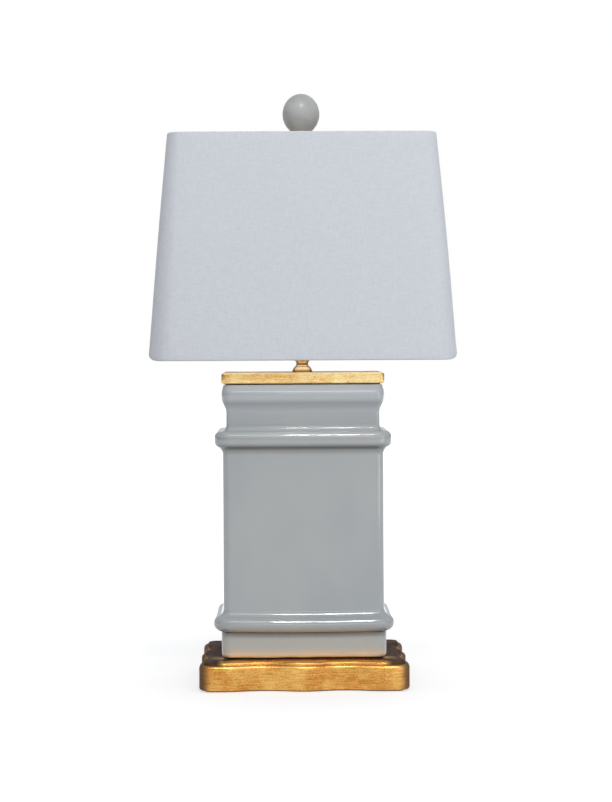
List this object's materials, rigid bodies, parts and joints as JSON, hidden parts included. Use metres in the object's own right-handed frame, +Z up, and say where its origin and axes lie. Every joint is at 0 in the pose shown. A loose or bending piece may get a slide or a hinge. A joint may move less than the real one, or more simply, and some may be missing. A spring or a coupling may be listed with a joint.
{
  "type": "column table lamp",
  "caption": "Rectangular glazed column table lamp with gilded scalloped plinth, brass neck, harp, rectangular fabric shade and ball finial.",
  "frame": {"origin": "middle of the felt pad's underside, on the lamp's upright axis, at table height", "axes": "+Z up, +X to the lamp's right as seen from the front, front face towards -Y"},
  "size_m": [0.3208, 0.2218, 0.6346],
  "materials": {
    "felt": "matte felt",
    "gilt_plinth": "gold leaf over wood, burnished and slightly worn",
    "gilt_cap": "pale gold leaf over wood",
    "bushing_plastic": "satin",
    "steel": "zinc plated",
    "gasket": "matte",
    "porcelain": "high gloss glaze",
    "neck_brass": "polished, slightly aged",
    "harp_brass": "polished",
    "socket_brass": "satin",
    "card": "matte",
    "phenolic": "satin",
    "contact_metal": "bright",
    "shade_cloth": "fine plain weave, matte",
    "shade_lining": "smooth white styrene",
    "binding_cloth": "folded cloth edge",
    "white_wire": "white enamel",
    "finial_brass": "polished",
    "finial_stone": "polished pale stone",
    "bulb_glass": "opal glass",
    "bulb_insulator": "satin"
  },
  "bodies": {
    "stand": {"felt_pad": "felt", "base_plinth": "gilt_plinth", "cord_bushing": "bushing_plastic", "rod_washer": "steel", "rod_lock_washer": "steel", "rod_nut": "steel", "foot_gasket": "gasket", "porcelain_body": "porcelain", "cap_gasket": "gasket", "cap_plate": "gilt_cap", "threaded_rod": "steel", "neck_ring": "neck_brass", "neck_cup": "neck_brass", "harp_saddle": "harp_brass", "saddle_locknut": "steel", "socket_cap": "socket_brass", "socket_shell": "socket_brass", "socket_liner": "card", "socket_body": "phenolic", "terminal_screws": "steel", "screw_shell": "contact_metal", "centre_contact": "contact_metal"},
    "switch_key": {"key_shaft": "steel", "key_knob": "phenolic"},
    "harp": {"harp_bow": "harp_brass", "harp_crown": "harp_brass"},
    "ferrule_left": {"ferrule_left": "harp_brass"},
    "ferrule_right": {"ferrule_right": "harp_brass"},
    "swivel": {"swivel_stud": "harp_brass"},
    "shade": {"shade_fabric": "shade_cloth", "shade_liner": "shade_lining", "shade_top_ring": "white_wire", "shade_bottom_ring": "white_wire", "top_binding": "binding_cloth", "bottom_binding": "binding_cloth", "spider_hub": "white_wire", "spider_arms": "white_wire"},
    "finial_washer": {"finial_washer": "harp_brass"},
    "finial": {"finial_base": "finial_brass", "finial_ball": "finial_stone"},
    "bulb": {"bulb_glass": "bulb_glass", "bulb_screw_base": "contact_metal", "bulb_tip": "bulb_insulator"}
  },
  "joints": [
    {"name": "switch_turn", "type": "hinge", "parent": "stand", "child": "switch_key", "pos_m": [0, 0, 0.3811], "axis": [0, -1, 0], "continuous": true},
    {"name": "harp_lift", "type": "slide", "parent": "stand", "child": "harp", "axis": [0, 0, 1], "range_m": [0, 0.045]},
    {"name": "ferrule_left_lift", "type": "slide", "parent": "harp", "child": "ferrule_left", "axis": [0, 0, 1], "range_m": [0, 0.016]},
    {"name": "ferrule_right_lift", "type": "slide", "parent": "harp", "child": "ferrule_right", "axis": [0, 0, 1], "range_m": [0, 0.016]},
    {"name": "shade_turn", "type": "hinge", "parent": "harp", "child": "swivel", "pos_m": [0, 0, 0.57], "axis": [0, 0, 1], "continuous": true},
    {"name": "shade_lift", "type": "slide", "parent": "swivel", "child": "shade", "axis": [0, 0, 1], "range_m": [0, 0.06]},
    {"name": "finial_lift", "type": "slide", "parent": "shade", "child": "finial_washer", "axis": [0, 0, 1], "range_m": [0, 0.03]},
    {"name": "finial_turn", "type": "hinge", "parent": "finial_washer", "child": "finial", "pos_m": [0, 0, 0.58], "axis": [0, 0, 1], "continuous": true},
    {"name": "bulb_lift", "type": "slide", "parent": "stand", "child": "bulb", "axis": [0, 0, 1], "range_m": [0, 0.035]}
  ]
}
